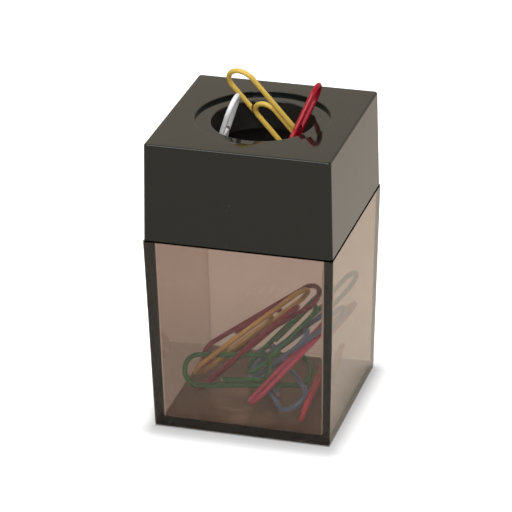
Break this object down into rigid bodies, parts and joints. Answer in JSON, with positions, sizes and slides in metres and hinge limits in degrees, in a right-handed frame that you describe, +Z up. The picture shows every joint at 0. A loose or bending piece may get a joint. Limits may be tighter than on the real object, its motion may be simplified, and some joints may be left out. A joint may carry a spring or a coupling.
{
  "type": "magnetic paper clip holder",
  "caption": "Square tinted clear box with a lift-off black cap whose round hole holds paper clips by a ring magnet; loose clips lie inside.",
  "frame": {"origin": "middle of the box's underside, on the surface that the holder stands on", "axes": "+Z up through the hole, -Y out of the front wall, +X to the right as seen from the front"},
  "size_m": [0.045, 0.045, 0.0818],
  "materials": {
    "smoke_clear_plastic": "clear tinted styrene, polished mould",
    "black_plastic": "glossy black moulding",
    "ferrite": "ground ceramic magnet, dark grey",
    "black_card": "plain matt sheet",
    "yellow_vinyl_wire": "vinyl-coated steel wire",
    "red_vinyl_wire": "vinyl-coated steel wire",
    "white_vinyl_wire": "vinyl-coated steel wire",
    "green_vinyl_wire": "vinyl-coated steel wire",
    "maroon_vinyl_wire": "vinyl-coated steel wire",
    "blue_vinyl_wire": "vinyl-coated steel wire",
    "pink_vinyl_wire": "vinyl-coated steel wire"
  },
  "bodies": {
    "box": {"base_box": "smoke_clear_plastic", "loose_clip_green_front": "green_vinyl_wire", "loose_clip_yellow": "yellow_vinyl_wire", "loose_clip_maroon_back": "maroon_vinyl_wire", "loose_clip_maroon_low": "maroon_vinyl_wire", "loose_clip_green_back": "green_vinyl_wire", "loose_clip_blue_top": "blue_vinyl_wire", "loose_clip_pink": "pink_vinyl_wire", "loose_clip_blue_floor": "blue_vinyl_wire", "loose_clip_red_floor": "red_vinyl_wire"},
    "cap": {"cap": "black_plastic", "ring_magnet": "ferrite", "magnet_retainer": "black_card"},
    "yellow_clip": {"rim_clip_yellow": "yellow_vinyl_wire"},
    "red_clip": {"rim_clip_red": "red_vinyl_wire"},
    "white_clip": {"rim_clip_white": "white_vinyl_wire"}
  },
  "joints": [
    {"name": "cap_lift", "type": "slide", "parent": "box", "child": "cap", "axis": [0, 0, 1], "range_m": [0, 0.06]},
    {"name": "yellow_clip_pull", "type": "slide", "parent": "cap", "child": "yellow_clip", "axis": [-0.5618, -0.2157, 0.7986], "range_m": [0, 0.03]},
    {"name": "red_clip_pull", "type": "slide", "parent": "cap", "child": "red_clip", "axis": [0.2918, 0.5727, 0.766], "range_m": [0, 0.03]},
    {"name": "white_clip_pull", "type": "slide", "parent": "cap", "child": "white_clip", "axis": [0.3248, -0.1515, 0.9336], "range_m": [0, 0.03]}
  ]
}
